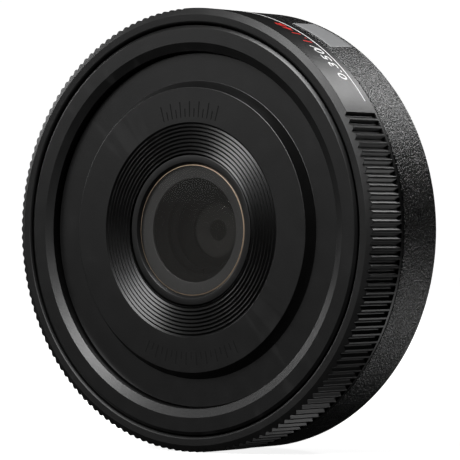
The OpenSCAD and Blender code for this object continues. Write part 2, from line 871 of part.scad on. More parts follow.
// Fixed aperture: a blackened disc with one round hole
module aperture_stop() {
    color(inner_black) placed() ring(aperture_r, stop_bore_r - 0.02, stop_seat_h - stop_t, stop_seat_h);
}

// Spacer between the aperture and the third glass
module aperture_spacer() {
    color(inner_black) placed()
        ring(seat_lip_r, stop_bore_r - 0.03, third_front_h, stop_seat_h - stop_t);
}

// Third glass: plano-concave, behind the aperture
module third_element() {
    color(glass_tint, 0.6) placed()
        element(stop_bore_r - glass_play, third_back_h, third_front_h, 20, 1, nearly_flat, -1);
}

// Spacer between the third and fourth glasses
module middle_spacer() {
    color(inner_black) placed()
        ring(seat_lip_r + 0.2, stop_bore_r - 0.03, rear_seat_h, third_back_h);
}

// Fourth glass: plano-convex, seated on the rear bore's shoulder
module fourth_element() {
    color(glass_tint, 0.6) placed()
        element(rear_bore_r - 2 * glass_play, fourth_back_h, rear_seat_h, 26, -1,
            nearly_flat, -1);
}

// Spacer between the fourth and fifth glasses
module rear_spacer() {
    inner = 7.3;
    outer = rear_bore_r - 0.05;
    color(inner_black) placed() turned([
        [inner, rear_glass_front_h], [outer, rear_glass_front_h],
        [outer, fourth_back_h - 0.03], [inner, fourth_back_h - 0.34]
    ]);
}

// Fifth glass: meniscus that bulges towards the camera
module rear_element() {
    color(glass_tint, 0.6) placed()
        element(rear_bore_r - 2 * glass_play, rear_glass_back_h, rear_glass_front_h, 18, -1,
            26, -1);
}

// Threaded ring that holds the rear group in the cell
module rear_retaining_ring() {
    inner = 7.4;
    outer = rear_bore_r - 0.02;
    color(black_anodised) placed() difference() {
        turned([
            [inner, cell_rear_h], [outer, cell_rear_h],
            [outer, rear_glass_back_h - 0.04], [inner, rear_glass_back_h - 0.46]
        ]);
        for (angle = [0, 180])
            at(angle, (inner + outer) / 2) spanner_slot(2, cell_rear_h, 0.35);
    }
}

rear_barrel();
bayonet_mount();
mount_screws();
index_dot();
light_baffle();
baffle_screws();
guide_plate();
guide_plate_screws();
guide_keys();
guide_key_screws();
fixed_barrel();
barrel_screws();
slide_washer_front();
slide_washer_rear();
wave_washer();
helicoid_retaining_ring();
front_rim();
front_rim_screws();
front_panel();
panel_adhesive_ring();
badge_plate();
focus_ring();
helicoid_nut();
drive_keys();
drive_key_screws();
inner_helicoid();
cell_barrel();
cell_shim();
front_bezel();
front_element();
front_mask();
second_element();
front_group_ring();
aperture_stop();
aperture_spacer();
third_element();
middle_spacer();
fourth_element();
rear_spacer();
rear_element();
rear_retaining_ring();
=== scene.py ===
"""Looks of the thin camera lens: detailed meshes, materials, light and camera around the frame.

The optical axis is the row's Y axis and the front faces -Y. Section drawings below are lists of
(radius, height[, fillet]) in millimetres, where height is measured forward from the seating face.
Angles run clockwise from the top, seen from the front.
"""

import json
import math

import bmesh
import bpy
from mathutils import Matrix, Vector


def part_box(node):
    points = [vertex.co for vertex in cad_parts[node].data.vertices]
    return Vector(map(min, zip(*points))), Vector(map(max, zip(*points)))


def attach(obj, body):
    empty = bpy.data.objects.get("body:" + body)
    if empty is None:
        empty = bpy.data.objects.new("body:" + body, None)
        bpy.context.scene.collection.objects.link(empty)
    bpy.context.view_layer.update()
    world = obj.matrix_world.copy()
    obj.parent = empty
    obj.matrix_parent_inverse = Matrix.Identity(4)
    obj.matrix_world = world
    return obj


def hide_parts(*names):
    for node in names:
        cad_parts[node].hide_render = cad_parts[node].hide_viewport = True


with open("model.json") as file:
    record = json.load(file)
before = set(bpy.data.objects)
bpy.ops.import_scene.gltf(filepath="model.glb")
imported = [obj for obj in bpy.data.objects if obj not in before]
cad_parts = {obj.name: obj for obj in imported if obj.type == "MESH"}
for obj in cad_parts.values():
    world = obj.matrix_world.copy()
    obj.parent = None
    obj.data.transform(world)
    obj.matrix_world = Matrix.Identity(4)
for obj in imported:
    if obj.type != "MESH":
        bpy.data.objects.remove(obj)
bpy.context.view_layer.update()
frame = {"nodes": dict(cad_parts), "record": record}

MM = 0.001
TINY = 1e-6
STEPS = 360
ROD_STEPS = 48
ARC_STEPS = 24


# ---- Sizes, read from the frame ----


def reach(node):
    """Largest radius of a node about the optical axis, in millimetres."""
    return max(math.hypot(v.co.x, v.co.z) for v in frame["nodes"][node].data.vertices) / MM


def heights(node):
    """Lowest and highest height of a node in front of the seating face, in millimetres."""
    low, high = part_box(node)
    return -high.y / MM, -low.y / MM


RING_R = reach("focus_ring")
RING_BACK, FRONT = heights("focus_ring")
BARREL_R = reach("rear_barrel")
BARREL_BACK, BARREL_FRONT = heights("rear_barrel")
RIM_R = reach("front_rim")
RIM_BACK = heights("front_rim")[0]
PANEL_EDGE_R = reach("front_panel")
PANEL_BACK, BOSS_TOP = heights("front_panel")
BEZEL_R = reach("front_bezel")
BEZEL_BACK, BEZEL_FRONT = heights("front_bezel")
CELL_R = reach("cell_barrel")
CELL_BACK, CELL_FRONT = heights("cell_barrel")
GLASS_R = reach("front_element")
GLASS_BACK = heights("front_element")[0]
MASK_BACK, MASK_FRONT = heights("front_mask")
FLANGE_R = reach("bayonet_mount")
MOUNT_BACK, FLANGE_T = heights("bayonet_mount")
BAFFLE_R = reach("light_baffle")
BAFFLE_BACK, BAFFLE_FRONT = heights("light_baffle")
MOUNTS = {m["name"]: m for m in frame["record"]["mounts"]}
SPIGOT_R = MOUNTS["spigot"]["dims"]["r_mm"]
SPIGOT_LENGTH = MOUNTS["spigot"]["dims"]["length_mm"]

# Ring and barrel; from here to the mesh tools, sizes are millimetres and angles degrees
KNURL_PITCH = 2.25
KNURL_COUNT = 133
KNURL_DEPTH = 0.38
KNURL_GROOVE_SHARE = 0.76
SMOOTH_MIDDLE = 28.4
KNURL_BACK = RING_BACK + 0.55
RING_BORE = RIM_R + 0.3
BEVEL_R = RING_R - 1.0
BEVEL_DROP = 0.5
PARTING_TRIM = 0.07

# Front
RIM_FLAT_R = 28.53
RECESS_R = 27.2
FLOOR = FRONT - 1.7
BOSS_FOOT_R = 22.71
BOSS_TOP_R = 21.73
GROOVE_OUTER_R = 16.41
GROOVES = 8
GROOVE_DEPTH = 0.22
PANEL_BORE = 11.7
OPENING_R = 10.0
MASK_R = 7.98
GLASS_RIM_R = 9.84
GLASS_RIM = FRONT - 0.77

# Marks and badge
FIGURE_STRETCH = 1.2
FIGURE_HEIGHT = 1.75
SCALE_HEIGHT = FRONT - 6.9
SCALE_ANGLES = (3.0, 55.5)
BADGE_ANGLES = (20.4, 35.0)
BADGE_HEIGHTS = (1.75, 8.0)
BADGE_SLANT = 0.8

# Rear
SCREW_CIRCLE_R = 28.4
SCREW_ANGLES = (45, 135, 225, 315)
BAFFLE_SCREW_CIRCLE_R = 21.8
BAFFLE_SCREW_ANGLES = (30, 150, 270)
INDEX_DOT_CIRCLE_R = 29.6
LUG_ANGLES = (20, 110, 200, 290)
LUG_SPAN = 44
WINDOW = (34.0, 24.0)


# ---- Mesh tools ----


def point(radius, angle, height):
    """Row position, in metres, of a point given by radius, clockwise angle and height."""
    a = math.radians(angle)
    return Vector((radius * math.sin(a), -height, radius * math.cos(a))) * MM


def rounded(section):
    """Section with its fillets worked out; a third number at a corner is its radius."""
    out = []
    count = len(section)
    for i, corner in enumerate(section):
        here = Vector(corner[:2])
        size = corner[2] if len(corner) > 2 else 0
        if not size:
            out.append(here)
            continue
        to_last = (Vector(section[i - 1][:2]) - here).normalized()
        to_next = (Vector(section[(i + 1) % count][:2]) - here).normalized()
        half = to_last.angle(to_next) / 2
        run = size / math.tan(half)
        start = here + to_last * run
        end = here + to_next * run
        centre = here + (to_last + to_next).normalized() * (size / math.sin(half))
        pieces = max(2, math.ceil(math.degrees(math.pi - 2 * half) / 18))
        a, b = start - centre, end - centre
        turn = a.angle(b)
        for k in range(pieces + 1):
            t = k / pieces
            mixed = (a * math.sin((1 - t) * turn) + b * math.sin(t * turn)) / math.sin(turn)
            out.append(centre + mixed)
    return out


def grid_faces(rows, columns):
    """Faces of a grid that closes on itself both ways, such as a ring with a closed section."""
    faces = []
    for i in range(rows):
        for j in range(columns):
            i2, j2 = (i + 1) % rows, (j + 1) % columns
            faces.append((i * columns + j, i * columns + j2, i2 * columns + j2, i2 * columns + j))
    return faces


def spun_rows(outline, centre, steps):
    """Vertices of an outline spun about a line through centre, and a row of indices per point.

    A point on the line becomes one vertex, so discs and lens elements close without slivers.
    """
    verts, rows = [], []
    for radius, height in outline:
        if radius < TINY:
            rows.append([len(verts)] * steps)
            verts.append(centre + point(0, 0, height))
        else:
            rows.append(list(range(len(verts), len(verts) + steps)))
            verts += [centre + point(radius, 360 * k / steps, height) for k in range(steps)]
    return verts, rows


def band(row, after):
    """Faces between two rows of vertices, without repeated corners."""
    faces = []
    for k in range(len(row)):
        k2 = (k + 1) % len(row)
        ring = [row[k], row[k2], after[k2], after[k]]
        corners = sorted(set(ring), key=ring.index)
        if len(corners) > 2:
            faces.append(tuple(corners))
    return faces


def turned(section, steps=STEPS):
    """Vertices and faces of a closed section turned about the optical axis."""
    verts, rows = spun_rows(rounded(section), Vector(), steps)
    faces = []
    for row, after in zip(rows, rows[1:] + rows[:1]):
        faces += band(row, after)
    return verts, faces


def rod(angle, circle_r, radii, levels):
    """Turned shape about an axis parallel to the optical axis; radii and levels pair up."""
    verts, rows = spun_rows(zip(radii, levels), point(circle_r, angle, 0), ROD_STEPS)
    faces = []
    for row, after in zip(rows, rows[1:]):
        faces += band(row, after)
    return verts, faces


def pin(angle, circle_r, radius, back, front):
    """Plain cylinder parallel to the optical axis."""
    return rod(angle, circle_r, (0, radius, radius, 0), (back, back, front, front))


def sector(section, low, high, steps):
    """Vertices and faces of a section swept from one clockwise angle to another, with ends."""
    points = rounded(section)
    count = len(points)
    verts = []
    for k in range(steps + 1):
        angle = low + (high - low) * k / steps
        verts += [point(p.x, angle, p.y) for p in points]
    faces = []
    for k in range(steps):
        for i in range(count):
            i2 = (i + 1) % count
            a, b = k * count, (k + 1) * count
            faces.append((a + i, a + i2, b + i2, b + i))
    faces.append(tuple(range(count)))
    faces.append(tuple(reversed(range(steps * count, steps * count + count))))
    return verts, faces


def add_object(name, data):
    """Object with the given data, linked to the scene."""
    obj = bpy.data.objects.new(name, data)
    bpy.context.scene.collection.objects.link(obj)
    return obj


def mesh_object(name, verts, faces):
    """Object with a clean, outward-facing mesh."""
    mesh = bpy.data.meshes.new(name)
    mesh.from_pydata(verts, [], faces)
    obj = add_object(name, mesh)
    edit = bmesh.new()
    edit.from_mesh(mesh)
    bmesh.ops.remove_doubles(edit, verts=edit.verts, dist=1e-8)
    bmesh.ops.recalc_face_normals(edit, faces=edit.faces)
    edit.to_mesh(mesh)
    edit.free()
    return obj


def smooth(obj, angle):
    """Smooth shading with edges sharper than the angle kept crisp, weighted by face area."""
    mesh = obj.data
    edit = bmesh.new()
    edit.from_mesh(mesh)
    for face in edit.faces:
        face.smooth = True
    for edge in edit.edges:
        edge.smooth = edge.is_manifold and edge.calc_face_angle() < math.radians(angle)
    edit.to_mesh(mesh)
    edit.free()
    weighted = obj.modifiers.new("weighted", "WEIGHTED_NORMAL")
    weighted.weight = 100
    weighted.keep_sharp = True


def finish_piece(obj, body, material, replaces=(), angle=32):
    """Shading, material, body and replaced nodes of one piece."""
    smooth(obj, angle)
    obj.data.materials.clear()
    obj.data.materials.append(material)
    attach(obj, body)
    if replaces:
        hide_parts(*replaces)
    return obj


def cut(obj, tool, operation="DIFFERENCE"):
    """Applies a boolean with the tool object and removes the tool."""
    modifier = obj.modifiers.new("cut", "BOOLEAN")
    modifier.operation = operation
    modifier.solver = "MANIFOLD"
    modifier.object = tool
    apply_modifiers(obj)
    bpy.data.objects.remove(tool)


def apply_modifiers(obj):
    """Replaces the object's mesh with its evaluated one."""
    graph = bpy.context.evaluated_depsgraph_get()
    mesh = bpy.data.meshes.new_from_object(obj.evaluated_get(graph))
    obj.modifiers.clear()
    obj.data = mesh


def join(name, parts):
    """One object from several separate meshes given as (verts, faces)."""
    verts, faces = [], []
    for part_verts, part_faces in parts:
        start = len(verts)
        verts += part_verts
        faces += [tuple(i + start for i in face) for face in part_faces]
    return mesh_object(name, verts, faces)


def bevel(obj, width, segments=2):
    """Rounds every edge sharper than 30 degrees by a width in millimetres."""
    modifier = obj.modifiers.new("bevel", "BEVEL")
    modifier.width = width * MM
    modifier.segments = segments
    modifier.limit_method = "ANGLE"
    modifier.angle_limit = math.radians(30)
    apply_modifiers(obj)


def slab(size, centre, spin=0):
    """Box of a size in millimetres about a centre in metres, spun about the optical axis."""
    w, d, h = (s * MM / 2 for s in size)
    a = math.radians(spin)
    verts = []
    for y in (-d, d):
        for x, z in ((-w, -h), (w, -h), (w, h), (-w, h)):
            turned_x = x * math.cos(a) + z * math.sin(a)
            turned_z = -x * math.sin(a) + z * math.cos(a)
            verts.append(centre + Vector((turned_x, y, turned_z)))
    faces = [(0, 1, 2, 3), (7, 6, 5, 4), (0, 4, 5, 1), (1, 5, 6, 2), (2, 6, 7, 3), (3, 7, 4, 0)]
    return verts, faces


# ---- Material tools ----


class Shader:
    """A material with a Principled shader and short ways to add procedural detail."""

    def __init__(self, name, **sockets):
        self.material = bpy.data.materials.new(name)
        self.material.use_nodes = True
        self.nodes = self.material.node_tree.nodes
        self.links = self.material.node_tree.links
        self.bsdf = self.nodes["Principled BSDF"]
        for socket, value in sockets.items():
            self.bsdf.inputs[socket.replace("_", " ")].default_value = value
        coords = self.nodes.new("ShaderNodeTexCoord")
        scale = self.nodes.new("ShaderNodeMapping")
        scale.inputs["Scale"].default_value = (1 / MM, 1 / MM, 1 / MM)
        self.links.new(coords.outputs["Object"], scale.inputs["Vector"])
        self.place = scale.outputs["Vector"]

    def feed(self, socket, value):
        """Gives a socket a number, or joins it to another node's output."""
        if isinstance(value, (int, float)):
            socket.default_value = value
        else:
            self.links.new(value, socket)

    def math(self, operation, a, b=None):
        """Result of an operation on numbers or other nodes' outputs."""
        node = self.nodes.new("ShaderNodeMath")
        node.operation = operation
        for socket, value in zip(node.inputs, (a, b)):
            if value is not None:
                self.feed(socket, value)
        return node.outputs[0]

    def noise(self, scale, detail=3.0, roughness=0.5, where=None):
        """Cloudy pattern, about 0 to 1, with scale waves to the millimetre."""
        node = self.nodes.new("ShaderNodeTexNoise")
        node.inputs["Scale"].default_value = scale
        node.inputs["Detail"].default_value = detail
        node.inputs["Roughness"].default_value = roughness
        self.links.new(where or self.place, node.inputs["Vector"])
        return node.outputs["Fac"]

    def voronoi(self, scale):
        """Distance to the nearest of scattered points, scale of them to the millimetre."""
        node = self.nodes.new("ShaderNodeTexVoronoi")
        node.inputs["Scale"].default_value = scale
        self.links.new(self.place, node.inputs["Vector"])
        return node.outputs["Distance"]

    def radius(self):
        """Distance from the optical axis, in millimetres."""
        split = self.nodes.new("ShaderNodeSeparateXYZ")
        self.links.new(self.place, split.inputs[0])
        x2 = self.math("POWER", split.outputs[0], 2.0)
        z2 = self.math("POWER", split.outputs[2], 2.0)
        return self.math("SQRT", self.math("ADD", x2, z2))

    def distance(self):
        """Distance from the origin, in millimetres."""
        node = self.nodes.new("ShaderNodeVectorMath")
        node.operation = "LENGTH"
        self.links.new(self.place, node.inputs[0])
        return node.outputs["Value"]

    def around(self):
        """Coordinates (radius, height, 0) for marks left by turning on a lathe."""
        split = self.nodes.new("ShaderNodeSeparateXYZ")
        self.links.new(self.place, split.inputs[0])
        joined = self.nodes.new("ShaderNodeCombineXYZ")
        self.links.new(self.radius(), joined.inputs[0])
        self.links.new(split.outputs[1], joined.inputs[1])
        return joined.outputs[0]

    def ramp(self, value, stops):
        """Colour for a value, from stops (position, colour)."""
        node = self.nodes.new("ShaderNodeValToRGB")
        elements = node.color_ramp.elements
        while len(elements) < len(stops):
            elements.new(0.5)
        for element, (position, colour) in zip(elements, stops):
            element.position = position
            element.color = (*colour, 1)
        self.links.new(value, node.inputs[0])
        return node.outputs[0]

    def span(self, value, low, high, out_low, out_high):
        """Value carried from one range to another."""
        node = self.nodes.new("ShaderNodeMapRange")
        for name, number in zip(
            ("From Min", "From Max", "To Min", "To Max"), (low, high, out_low, out_high)
        ):
            node.inputs[name].default_value = number
        self.links.new(value, node.inputs["Value"])
        return node.outputs[0]

    def colour(self, value):
        """Joins a colour to the surface."""
        self.links.new(value, self.bsdf.inputs["Base Color"])

    def mottle(self, value, low, high, colour, dark):
        """Colour that sinks to a darker share of itself where value is low."""
        shade = tuple(c * dark for c in colour)
        self.colour(self.ramp(value, [(low, shade), (high, colour)]))

    def rough(self, value):
        """Joins a roughness to the surface."""
        self.links.new(value, self.bsdf.inputs["Roughness"])

    def glow(self, colour, strength):
        """Light that the surface gives off; strength is a number or a node's output."""
        self.bsdf.inputs["Emission Color"].default_value = (*colour, 1)
        self.feed(self.bsdf.inputs["Emission Strength"], strength)

    def bumps(self, layers, edge=0.0):
        """Adds bump layers (value, height in millimetres); edge rounds corners in shading."""
        normal = None
        if edge:
            soft = self.nodes.new("ShaderNodeBevel")
            soft.samples = 4
            soft.inputs["Radius"].default_value = edge * MM
            normal = soft.outputs[0]
        for value, height in layers:
            node = self.nodes.new("ShaderNodeBump")
            node.inputs["Distance"].default_value = height * MM
            self.links.new(value, node.inputs["Height"])
            if normal:
                self.links.new(normal, node.inputs["Normal"])
            normal = node.outputs[0]
        self.links.new(normal, self.bsdf.inputs["Normal"])

    def edges(self):
        """0 on flat surfaces, towards 1 on convex edges, where it lifts the colour as a painted
        highlight.
        """
        geometry = self.nodes.new("ShaderNodeNewGeometry")
        return self.span(geometry.outputs["Pointiness"], 0.52, 0.62, 0.0, 1.0)


def grey(level):
    """Neutral grey of a linear level."""
    return (level, level, level)


def anodised(name, level=0.004, rough=0.31, blast=0.0012, shine=0.5):
    """Matt black anodised metal: a blasted grain of two sizes, and a painted highlight that
    lightens the colour along convex edges.
    """
    s = Shader(name, IOR=1.5, Specular_IOR_Level=shine)
    cloud = s.noise(0.35, 4.0)
    fine = s.noise(14.0, 2.0)
    # Colour: random cloudy tone of the anodising, plus a painted highlight that makes convex
    # edges up to twice as light
    s.colour(s.ramp(s.math("ADD", cloud, s.math("MULTIPLY", s.edges(), 0.4)), [
        (0.3, grey(level * 0.9)), (0.62, grey(level * 1.1)), (1.0, grey(level * 2.2))]))
    s.rough(s.span(s.math("ADD", cloud, fine), 0.7, 1.3, rough - 0.015, rough + 0.015))
    s.bumps([(s.noise(4.0, 2.0), 8 * blast), (fine, blast)])
    return s.material


def pebbled_paint():
    """Fine pebbled black paint: rounded grains of about a third of a millimetre."""
    s = Shader("pebbled_black_paint", IOR=1.5, Specular_IOR_Level=1.0)
    grains = s.voronoi(3.0)
    mid = s.noise(4.5, 3.0, 0.6)
    fine = s.noise(14.0, 2.0)
    # Colour: the grain's own random tone, with the brightest stop lifting scattered flecks many
    # times lighter as painted glints
    s.colour(s.ramp(s.math("ADD", mid, s.math("MULTIPLY", fine, 0.3)), [
        (0.5, grey(0.003)), (0.68, grey(0.006)), (0.78, grey(0.035))]))
    s.rough(s.span(mid, 0.3, 0.7, 0.22, 0.33))
    s.bumps([(grains, -0.075), (mid, 0.1), (fine, 0.02)])
    return s.material


def light_trap(name, level=0.006, shine=0.2):
    """Dead matt black used inside the lens."""
    s = Shader(name, IOR=1.4, Specular_IOR_Level=shine)
    flock = s.noise(6.0, 2.0)
    s.colour(s.ramp(flock, [(0.35, grey(level * 0.7)), (0.7, grey(level * 1.4))]))
    s.rough(s.span(flock, 0.3, 0.7, 0.7, 0.85))
    s.bumps([(flock, 0.002)])
    return s.material


def turned_metal(name, colour):
    """Satin turned metal with fine circular tool marks and very slight smudges."""
    s = Shader(name, Metallic=1.0)
    marks = s.noise(11.0, 2.0, 0.5, s.around())
    smudge = s.noise(0.12, 2.0, 0.4)
    s.mottle(marks, 0.3, 0.6, colour, 0.86)
    s.rough(s.span(smudge, 0.3, 0.7, 0.38, 0.43))
    s.bumps([(marks, 0.0012)])
    return s.material


def small_metal(name, colour, rough=0.3):
    """Machined metal of screws, keys and washers, with its edges softened."""
    s = Shader(name, Metallic=1.0)
    grain = s.noise(7.0, 4.0, 0.6)
    s.mottle(grain, 0.35, 0.65, colour, 0.7)
    s.rough(s.span(grain, 0.3, 0.7, rough - 0.06, rough + 0.1))
    s.bumps([(grain, 0.003)], edge=0.03)
    return s.material


def plastic(name, colour, rough=0.5, fleck=0.8):
    """Moulded or filmed plastic with a soft mottled grain."""
    s = Shader(name, IOR=1.47)
    grain = s.noise(9.0, 3.0)
    s.mottle(grain, 0.35, 0.65, colour, fleck)
    s.rough(s.span(grain, 0.3, 0.7, rough - 0.06, rough + 0.08))
    s.bumps([(grain, 0.004)])
    return s.material


def paint_fill(name, colour, glow=0.0):
    """Opaque ink in engraved figures, slightly uneven; glow is painted light that makes the white
    or red brighter than the lamps alone make it.
    """
    s = Shader(name, IOR=1.5)
    grain = s.noise(12.0, 3.0)
    s.mottle(grain, 0.3, 0.7, colour, 0.82)
    s.rough(s.span(grain, 0.3, 0.7, 0.38, 0.55))
    # Painted light: the ink gives off light of its own colour
    s.glow(colour, glow)
    s.bumps([(grain, 0.002)])
    return s.material


def coated_glass(name, tint, index, painted_reflection_glow=0.0):
    """Polished glass; a low index stands for coatings that hardly reflect, and the last number is
    a glow painted in place of the dim reflection that greys the glass.
    """
    s = Shader(name, Transmission_Weight=1.0, IOR=index)
    # Painted reflection: an even glow standing in for the dim surroundings reflected in the glass
    s.glow((1.0, 0.97, 0.92), painted_reflection_glow)
    haze = s.noise(1.3, 5.0, 0.6)
    s.mottle(haze, 0.3, 0.7, tint, 0.97)
    s.rough(s.span(haze, 0.35, 0.75, 0.03, 0.06))
    s.bumps([(haze, 0.0002)])
    return s.material


ANODISED = anodised("black_anodised")
RING_BLACK = anodised("ring_anodised", rough=0.41, shine=0.32)
PANEL_BLACK = anodised("panel_black")
GROOVE_BLACK = anodised("groove_black", 0.0015, blast=0.0001, shine=0.33)
PEBBLED = pebbled_paint()
TRAP_BLACK = light_trap("inner_black")
CELL_BLACK = light_trap("cell_black", 0.0007, 0.02)
STOP_BLACK = light_trap("stop_black", 0.0045, 0.08)
MOUNT_METAL = turned_metal("mount_metal", (0.78, 0.78, 0.79))
MOUNT_SCREW = small_metal("mount_screw_metal", (0.66, 0.66, 0.67), 0.36)
BRIGHT_STEEL = small_metal("spring_steel", (0.5, 0.5, 0.5))
BLACK_SCREW = small_metal("black_screw", (0.04, 0.04, 0.042), 0.4)
BRASS = small_metal("helicoid_brass", (0.62, 0.42, 0.17), 0.28)
ALLOY = small_metal("helicoid_alloy", (0.42, 0.41, 0.39), 0.34)
FILM = plastic("washer_film", (0.72, 0.70, 0.62), 0.4)
TAPE = plastic("adhesive_tape", (0.42, 0.34, 0.2), 0.6)
BADGE_GREY = plastic("badge_grey", (0.42, 0.425, 0.43), 0.42, 0.9)
MASK_GREY = plastic("mask_grey", (0.008, 0.0078, 0.0076), 0.6)
RED_DOT = plastic("red_enamel", (0.5, 0.012, 0.012), 0.25, 0.85)
# The front glass glows faintly as a painted reflection, which greys the dark opening
FRONT_GLASS = coated_glass("front_glass", (0.93, 0.93, 0.92), 1.12, 0.006)
INNER_GLASS = coated_glass("inner_glass", (0.93, 0.92, 0.88), 1.05)
REAR_GLASS = coated_glass("rear_glass", (0.9, 0.94, 0.93), 1.3)
GLASS_EDGE = plastic("ground_glass_edge", (0.36, 0.27, 0.19), 0.4)
# White and red inks glow as painted light, so the scale line and figures stay bright beside the
# highlight on the ring
INK_WHITE = paint_fill("ink_white", (0.85, 0.85, 0.85), 0.6)
INK_RED = paint_fill("ink_red", (0.6, 0.02, 0.015), 0.5)
INK_GREY = paint_fill("ink_grey", (0.045, 0.046, 0.048))
INK_DARK = light_trap("engraved_dark", 0.003)


# ---- Focusing ring ----


def knurl_section(depth):
    """Closed section of the ring where its outside is cut back by depth."""
    outer = RING_R - depth
    bevel_start = FRONT - BEVEL_DROP + depth * BEVEL_DROP
    step = 0.03 if depth else 0.0
    back = RING_BACK - PARTING_TRIM
    return [
        (RING_BORE, back + 0.1), (RING_BORE + 0.1, back),
        (RING_R - 0.12, back), (RING_R - 0.04, back + 0.04), (RING_R, back + 0.12),
        (RING_R, KNURL_BACK), (outer, KNURL_BACK + step), (outer, bevel_start - 0.03),
        (outer - 0.02, bevel_start + 0.02), (BEVEL_R + 0.06, FRONT - 0.03),
        (BEVEL_R - 0.03, FRONT), (RING_BORE + 0.34, FRONT - 0.02),
        (RING_BORE + 0.2, FRONT - 0.08), (RING_BORE + 0.06, FRONT - 0.22),
        (RING_BORE, FRONT - 0.36),
    ]


def knurl_stations():
    """(angle, depth) pairs once round the ring: crisp ridges, then the smooth stretch."""
    groove = KNURL_PITCH * KNURL_GROOVE_SHARE
    first = SMOOTH_MIDDLE + (360 - (KNURL_COUNT - 1) * KNURL_PITCH) / 2
    # one groove: place across it, and share of the full depth
    shape = [(-0.53, 0.0), (-0.5, 0.03), (-0.46, 0.1), (-0.1, 0.91), (-0.04, 0.99),
             (0.04, 0.99), (0.1, 0.91), (0.46, 0.1), (0.5, 0.03), (0.53, 0.0)]
    stations = []
    for i in range(KNURL_COUNT):
        middle = first + i * KNURL_PITCH
        stations += [(middle + x * groove, d * KNURL_DEPTH) for x, d in shape]
    last, start = stations[-1][0], stations[0][0] + 360
    smooth_steps = 64
    stations += [(last + (start - last) * k / smooth_steps, 0.0) for k in range(1, smooth_steps)]
    return stations


def focusing_ring():
    """Knurled ring: V grooves run out through the front bevel and end square behind."""
    stations = knurl_stations()
    verts = []
    for angle, depth in stations:
        verts += [point(r, angle, h) for r, h in knurl_section(depth)]
    count = len(knurl_section(0))
    obj = mesh_object("focusing_ring", verts, grid_faces(len(stations), count))
    finish_piece(obj, "focus_drive", RING_BLACK, ["focus_ring"], 18)


# ---- Barrels and front ----


def rear_shell():
    """Outer shell of the rear barrel with rounded edges."""
    bore, flange_seat_r, inner = 24.5, 31.3, RIM_R + 0.05
    front = BARREL_FRONT + PARTING_TRIM
    web_front = FLANGE_T + 1.2
    section = [
        (bore, FLANGE_T), (flange_seat_r, FLANGE_T), (flange_seat_r, BARREL_BACK, 0.08),
        (BARREL_R, BARREL_BACK, 0.35), (BARREL_R, front, 0.15), (inner, front, 0.1),
        (inner, web_front), (bore, web_front),
    ]
    obj = mesh_object("rear_shell", *turned(section))
    finish_piece(obj, "lens_body", PEBBLED, ["rear_barrel"])


def rim():
    """Front rim with its outer edge bevelled and its inner chamfer running into the recess."""
    bore, shelf = 19.0, PANEL_BACK - 0.15
    outer_edge, outer_drop, inner_drop = 0.45, 0.3, 0.5
    section = [
        (bore, RIM_BACK), (RIM_R, RIM_BACK, 0.1), (RIM_R, FRONT - outer_drop, 0.05),
        (RIM_R - outer_edge, FRONT, 0.06), (RIM_FLAT_R, FRONT, 0.08),
        (RECESS_R, FRONT - inner_drop, 0.1), (RECESS_R, shelf), (bore, shelf),
    ]
    obj = mesh_object("front_rim_ring", *turned(section))
    finish_piece(obj, "lens_body", ANODISED, ["front_rim"])


def panel():
    """Front panel: recessed floor, raised boss and concentric V-shaped light-trap grooves."""
    pitch = (GROOVE_OUTER_R - PANEL_BORE) / GROOVES
    collar_r, collar_back = PANEL_BORE + 0.7, PANEL_BACK - 0.65
    hollow_r, hollow_top = BOSS_TOP_R - 0.9, BOSS_TOP - 1.1
    fillet = 0.02
    section = [
        (collar_r, collar_back), (collar_r, hollow_top), (hollow_r, hollow_top),
        (hollow_r, PANEL_BACK), (PANEL_EDGE_R, PANEL_BACK), (PANEL_EDGE_R, FLOOR, 0.12),
        (BOSS_FOOT_R, FLOOR, 0.1), (BOSS_TOP_R, BOSS_TOP, 0.14),
    ]
    for i in range(GROOVES):
        outer = GROOVE_OUTER_R - i * pitch
        section.append((outer, BOSS_TOP, fillet))
        section.append((outer - pitch / 2, BOSS_TOP - GROOVE_DEPTH, fillet))
    section += [(PANEL_BORE, BOSS_TOP - fillet, fillet), (PANEL_BORE, collar_back)]
    obj = mesh_object("recessed_front_panel", *turned(section))
    finish_piece(obj, "lens_body", PANEL_BLACK, ["front_panel"], 20)
    obj.data.materials.append(GROOVE_BLACK)
    for face in obj.data.polygons:
        radius = math.hypot(face.center.x, face.center.z) / MM
        if radius < GROOVE_OUTER_R and -face.center.y / MM > BOSS_TOP - GROOVE_DEPTH - fillet:
            face.material_index = 1


def badge():
    """Blank plate let into the side of the rear barrel."""
    low, high = BADGE_ANGLES
    back, front = BADGE_HEIGHTS
    columns, rows = 24, 6
    verts, faces = [], []
    for r in (BARREL_R - 0.12, BARREL_R + 0.03):
        for i in range(rows + 1):
            t = i / rows
            h = back + (front - back) * t
            for j in range(columns + 1):
                angle = low + BADGE_SLANT * t + (high - BADGE_SLANT - low) * j / columns
                verts.append(point(r, angle, h))
    layer = (rows + 1) * (columns + 1)

    def index(r, i, j):
        return r * layer + i * (columns + 1) + j

    for i in range(rows):
        for j in range(columns):
            for r in (0, 1):
                faces.append((index(r, i, j), index(r, i, j + 1),
                              index(r, i + 1, j + 1), index(r, i + 1, j)))
    border = ([(0, j) for j in range(columns)] + [(i, columns) for i in range(rows)]
              + [(rows, j) for j in range(columns, 0, -1)] + [(i, 0) for i in range(rows, 0, -1)])
    for (a, b), (c, d) in zip(border, border[1:] + border[:1]):
        faces.append((index(0, a, b), index(0, c, d), index(1, c, d), index(1, a, b)))
    obj = mesh_object("blank_badge", verts, faces)
    bevel(obj, 0.04, 2)
    finish_piece(obj, "lens_body", BADGE_GREY, ["badge_plate"])


# ---- Marks ----


def printed(r, back, front, rise):
    """Section of a painted mark on a cylinder of radius r, sunk in and standing out by rise."""
    sunk = r - 0.08
    return [(sunk, back), (r + rise, back), (r + rise, front), (sunk, front)]


